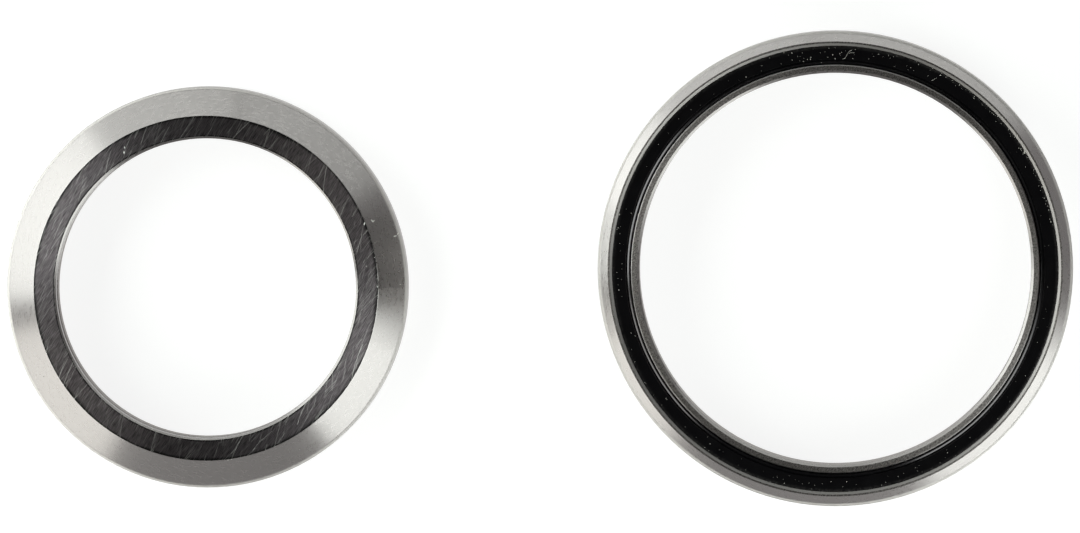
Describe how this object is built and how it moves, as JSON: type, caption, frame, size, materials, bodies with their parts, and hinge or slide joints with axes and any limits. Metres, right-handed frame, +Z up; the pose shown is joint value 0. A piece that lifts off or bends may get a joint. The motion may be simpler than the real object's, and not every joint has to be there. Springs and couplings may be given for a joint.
{
  "type": "headset bearing set",
  "caption": "Upper and lower angular-contact cartridge bearings of a threadless bicycle headset, with 45 degree seats, caged balls and rubber lip seals, lying seat side up.",
  "frame": {"origin": "on the resting plane, at the middle of the box round the two bearings", "axes": "+X from the upper bearing to the lower one, +Z up along both bearing axes, towards the 45 degree seats"},
  "size_m": [0.109, 0.0486, 0.007],
  "materials": {
    "bearing_steel": "ground and turned bearing steel, satin",
    "ball_steel": "lapped, mirror bright",
    "nitrile_rubber": "moulded, semi-gloss black",
    "cage_nylon": "moulded, natural"
  },
  "bodies": {
    "outer_rings": {"upper_outer_ring": "bearing_steel", "upper_seal": "nitrile_rubber", "lower_outer_ring": "bearing_steel", "lower_top_seal": "nitrile_rubber", "lower_bottom_seal": "nitrile_rubber"},
    "upper_inner": {"upper_inner_ring": "bearing_steel"},
    "lower_inner": {"lower_inner_ring": "bearing_steel"},
    "upper_ball_set": {"upper_cage": "cage_nylon", "upper_ball_01": "ball_steel", "upper_ball_02": "ball_steel", "upper_ball_03": "ball_steel", "upper_ball_04": "ball_steel", "upper_ball_05": "ball_steel", "upper_ball_06": "ball_steel", "upper_ball_07": "ball_steel", "upper_ball_08": "ball_steel", "upper_ball_09": "ball_steel", "upper_ball_10": "ball_steel", "upper_ball_11": "ball_steel", "upper_ball_12": "ball_steel", "upper_ball_13": "ball_steel", "upper_ball_14": "ball_steel", "upper_ball_15": "ball_steel", "upper_ball_16": "ball_steel", "upper_ball_17": "ball_steel", "upper_ball_18": "ball_steel", "upper_ball_19": "ball_steel", "upper_ball_20": "ball_steel"},
    "lower_ball_set": {"lower_cage": "cage_nylon", "lower_ball_01": "ball_steel", "lower_ball_02": "ball_steel", "lower_ball_03": "ball_steel", "lower_ball_04": "ball_steel", "lower_ball_05": "ball_steel", "lower_ball_06": "ball_steel", "lower_ball_07": "ball_steel", "lower_ball_08": "ball_steel", "lower_ball_09": "ball_steel", "lower_ball_10": "ball_steel", "lower_ball_11": "ball_steel", "lower_ball_12": "ball_steel", "lower_ball_13": "ball_steel", "lower_ball_14": "ball_steel", "lower_ball_15": "ball_steel", "lower_ball_16": "ball_steel", "lower_ball_17": "ball_steel", "lower_ball_18": "ball_steel", "lower_ball_19": "ball_steel", "lower_ball_20": "ball_steel", "lower_ball_21": "ball_steel", "lower_ball_22": "ball_steel", "lower_ball_23": "ball_steel", "lower_ball_24": "ball_steel", "lower_ball_25": "ball_steel", "lower_ball_26": "ball_steel"}
  },
  "joints": [
    {"name": "upper_spin", "type": "hinge", "parent": "outer_rings", "child": "upper_inner", "pos_m": [-0.03397, -0.002, 0.003], "axis": [0, 0, 1], "continuous": true},
    {"name": "lower_spin", "type": "hinge", "parent": "outer_rings", "child": "lower_inner", "pos_m": [0.03022, 0, 0.003], "axis": [0, 0, 1], "continuous": true},
    {"name": "upper_ball_orbit", "type": "hinge", "parent": "outer_rings", "child": "upper_ball_set", "pos_m": [-0.03397, -0.002, 0.003], "axis": [0, 0, 1], "continuous": true},
    {"name": "lower_ball_orbit", "type": "hinge", "parent": "outer_rings", "child": "lower_ball_set", "pos_m": [0.03022, 0, 0.003], "axis": [0, 0, 1], "continuous": true}
  ],
  "couplings": [
    {"joint": "upper_ball_orbit", "follows": "upper_spin", "ratio": 0.4686},
    {"joint": "lower_ball_orbit", "follows": "lower_spin", "ratio": 0.48098}
  ]
}
